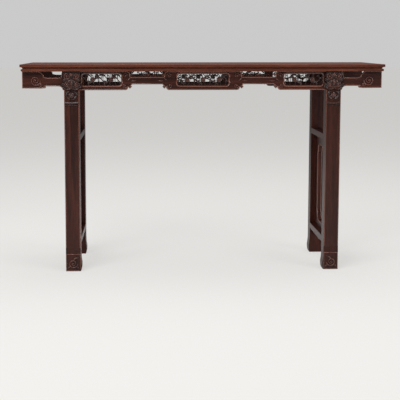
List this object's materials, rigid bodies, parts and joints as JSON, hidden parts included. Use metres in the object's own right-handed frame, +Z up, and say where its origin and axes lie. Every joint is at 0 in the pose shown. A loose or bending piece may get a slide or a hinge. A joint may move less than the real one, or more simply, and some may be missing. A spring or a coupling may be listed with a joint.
{
  "type": "carved console table",
  "caption": "Long hardwood console table with a framed top, pierced carved aprons, recessed legs and open end frames.",
  "frame": {"origin": "centre of the footprint at floor level", "axes": "+X along the table to the right, +Y from front to back, +Z up"},
  "size_m": [1.5, 0.4, 0.866],
  "materials": {
    "top_wood": "dark reddish-brown hardwood, polished",
    "body_wood": "dark reddish-brown hardwood, polished",
    "carved_wood": "dark reddish-brown hardwood, carved and waxed"
  },
  "bodies": {
    "root": {"apron_back": "body_wood", "apron_front": "body_wood", "carved_panel_back_centre": "carved_wood", "carved_panel_back_left": "carved_wood", "carved_panel_back_right": "carved_wood", "carved_panel_front_centre": "carved_wood", "carved_panel_front_left": "carved_wood", "carved_panel_front_right": "carved_wood", "cloud_lappet_back_left": "carved_wood", "cloud_lappet_back_right": "carved_wood", "cloud_lappet_front_left": "carved_wood", "cloud_lappet_front_right": "carved_wood", "end_apron_left": "body_wood", "end_apron_right": "body_wood", "frame_bottom_left": "body_wood", "frame_bottom_right": "body_wood", "frame_top_left": "body_wood", "frame_top_right": "body_wood", "frame_upright_back_left": "body_wood", "frame_upright_back_right": "body_wood", "frame_upright_front_left": "body_wood", "frame_upright_front_right": "body_wood", "leg_back_left": "body_wood", "leg_back_right": "body_wood", "leg_front_left": "body_wood", "leg_front_right": "body_wood", "lower_apron_left": "body_wood", "lower_apron_right": "body_wood", "lower_stretcher_left": "body_wood", "lower_stretcher_right": "body_wood", "top_batten_centre": "body_wood", "top_batten_left": "body_wood", "top_batten_right": "body_wood", "top_panel": "top_wood", "top_rail_back": "top_wood", "top_rail_front": "top_wood", "top_rail_left": "top_wood", "top_rail_right": "top_wood", "twig_back_left": "carved_wood", "twig_back_right": "carved_wood", "twig_front_left": "carved_wood", "twig_front_right": "carved_wood", "upper_stretcher_left": "body_wood", "upper_stretcher_right": "body_wood"}
  },
  "joints": []
}
